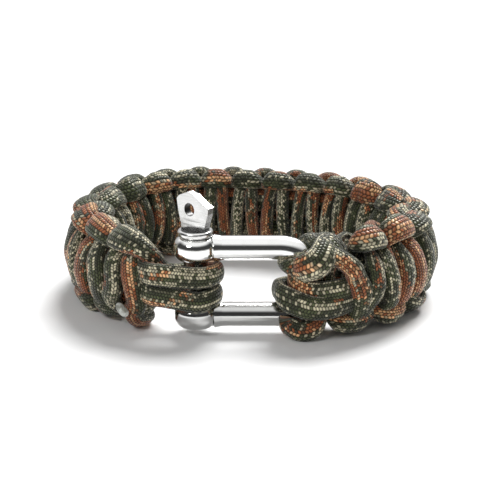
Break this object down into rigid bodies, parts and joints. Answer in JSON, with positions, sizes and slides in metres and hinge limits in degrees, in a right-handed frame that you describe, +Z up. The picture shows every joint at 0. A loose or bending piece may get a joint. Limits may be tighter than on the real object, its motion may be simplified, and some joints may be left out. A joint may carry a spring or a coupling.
{
  "type": "paracord bracelet",
  "caption": "Woven cord bracelet lying on its edge, closed by a steel bow shackle whose screw pin withdraws upward.",
  "frame": {"origin": "middle of the bracelet's footprint on the surface that it lies on", "axes": "+Z up along the band's width, -Y towards the shackle, +X from the pin towards the bow's bend"},
  "size_m": [0.0802, 0.0715, 0.0295],
  "materials": {
    "cord": "braided nylon, olive with sage flecks and rust patches",
    "melted_cord": "melted and set, smooth grey",
    "bow_steel": "mirror polished stainless steel",
    "pin_steel": "polished stainless steel, softly tumbled"
  },
  "bodies": {
    "bracelet": {"woven_band": "cord", "melted_end": "melted_cord", "shackle_bow": "bow_steel", "pin_loop_upper": "cord", "pin_loop_lower": "cord", "bow_loop_top": "cord", "bow_loop_upper": "cord", "bow_loop_lower": "cord", "bow_loop_bottom": "cord"},
    "pin": {"shackle_pin": "pin_steel"}
  },
  "joints": [
    {"name": "pin_withdraw", "type": "slide", "parent": "bracelet", "child": "pin", "axis": [0, 0, 1], "range_m": [0, 0.021]}
  ]
}
